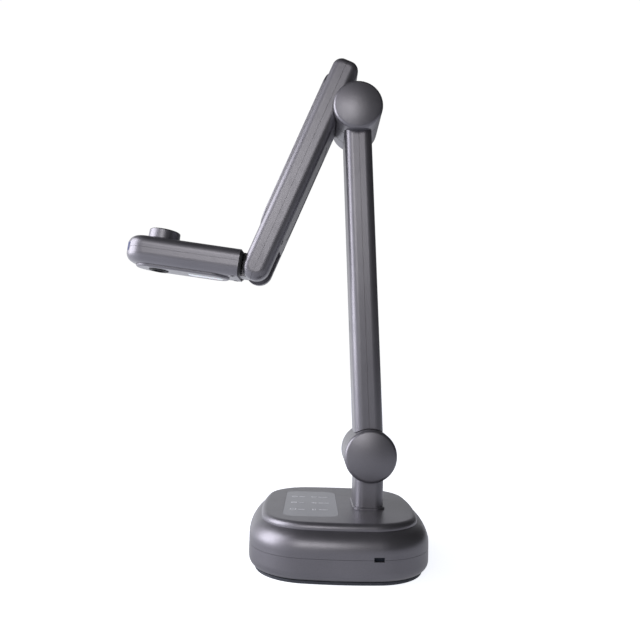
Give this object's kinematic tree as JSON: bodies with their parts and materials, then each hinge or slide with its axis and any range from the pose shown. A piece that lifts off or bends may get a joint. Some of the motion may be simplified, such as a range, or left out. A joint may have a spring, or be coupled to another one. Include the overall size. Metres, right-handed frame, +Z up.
{
  "type": "document camera",
  "caption": "Foldable desktop document camera: a cushion-shaped base with a touch panel, a neck, two hinged arms and a flat tilting camera head with a lamp and a turning lens.",
  "frame": {"origin": "centre of the base's resting face, on the table", "axes": "+Z up along the neck and the lower arm; the camera head reaches towards -X; every hinge axis runs along Y; -Y is the side with the lock slot"},
  "size_m": [0.2438, 0.149, 0.3985],
  "materials": {
    "graphite_shell": "satin metallic moulded plastic",
    "black_trim": "matt black moulded plastic",
    "touch_film": "printed satin film",
    "foot_rubber": "matt",
    "steel": "plain",
    "black_steel": "blackened",
    "circuit_board": "solder mask",
    "lens_glass": "coated",
    "diffuser": "frosted",
    "window": "tinted gloss"
  },
  "bodies": {
    "base": {"base_upper_shell": "graphite_shell", "base_lower_shell": "graphite_shell", "foot_pad": "foot_rubber", "ballast_plate": "steel", "main_board": "circuit_board", "touch_panel": "touch_film", "touch_board": "circuit_board", "lock_slot_insert": "black_steel", "usb_socket": "steel", "base_screws": "steel", "neck_post": "graphite_shell", "neck_collar": "graphite_shell", "neck_bolts": "steel", "lower_axle": "steel", "lower_washers": "steel", "lower_nut": "steel", "lower_front_cap": "graphite_shell", "lower_back_cap": "graphite_shell"},
    "lower_arm": {"lower_arm_left_shell": "graphite_shell", "lower_arm_right_shell": "graphite_shell", "lower_arm_spine": "steel", "lower_arm_plug": "black_trim", "elbow_axle": "steel", "elbow_washers": "steel", "elbow_nut": "steel", "elbow_front_cap": "graphite_shell", "elbow_back_cap": "graphite_shell"},
    "upper_arm": {"upper_arm_inner_shell": "graphite_shell", "upper_arm_outer_shell": "graphite_shell", "upper_arm_core": "steel", "upper_arm_inset_cover": "graphite_shell", "upper_arm_back_panel": "graphite_shell", "upper_arm_screws": "black_steel", "wrist_pin": "steel"},
    "head": {"head_top_shell": "graphite_shell", "head_bottom_shell": "graphite_shell", "head_under_plate": "graphite_shell", "head_end_cap": "black_trim", "wrist_knuckle": "graphite_shell", "led_board": "circuit_board", "led_diffuser": "diffuser", "nose_window": "window", "head_screws": "black_steel"},
    "turret": {"lens_barrel": "black_trim", "lens_ring": "black_steel", "lens_glass": "lens_glass", "sensor_board": "circuit_board", "turret_spindle": "black_steel", "camera_knob": "graphite_shell"}
  },
  "joints": [
    {"name": "base_hinge", "type": "hinge", "parent": "base", "child": "lower_arm", "pos_m": [0.0229, 0, 0.079], "axis": [0, 1, 0], "range_deg": [-76, 25]},
    {"name": "elbow_hinge", "type": "hinge", "parent": "lower_arm", "child": "upper_arm", "pos_m": [0.00651, 0, 0.35491], "axis": [0, 1, 0], "range_deg": [-24.5, 140]},
    {"name": "wrist_hinge", "type": "hinge", "parent": "upper_arm", "child": "head", "pos_m": [-0.07069, 0, 0.22312], "axis": [0, 1, 0], "range_deg": [-75, 16]},
    {"name": "lens_turn", "type": "hinge", "parent": "head", "child": "turret", "pos_m": [-0.15018, 0, 0.23217], "axis": [0.1132, 0, 0.9936], "range_deg": [-90, 90]}
  ]
}
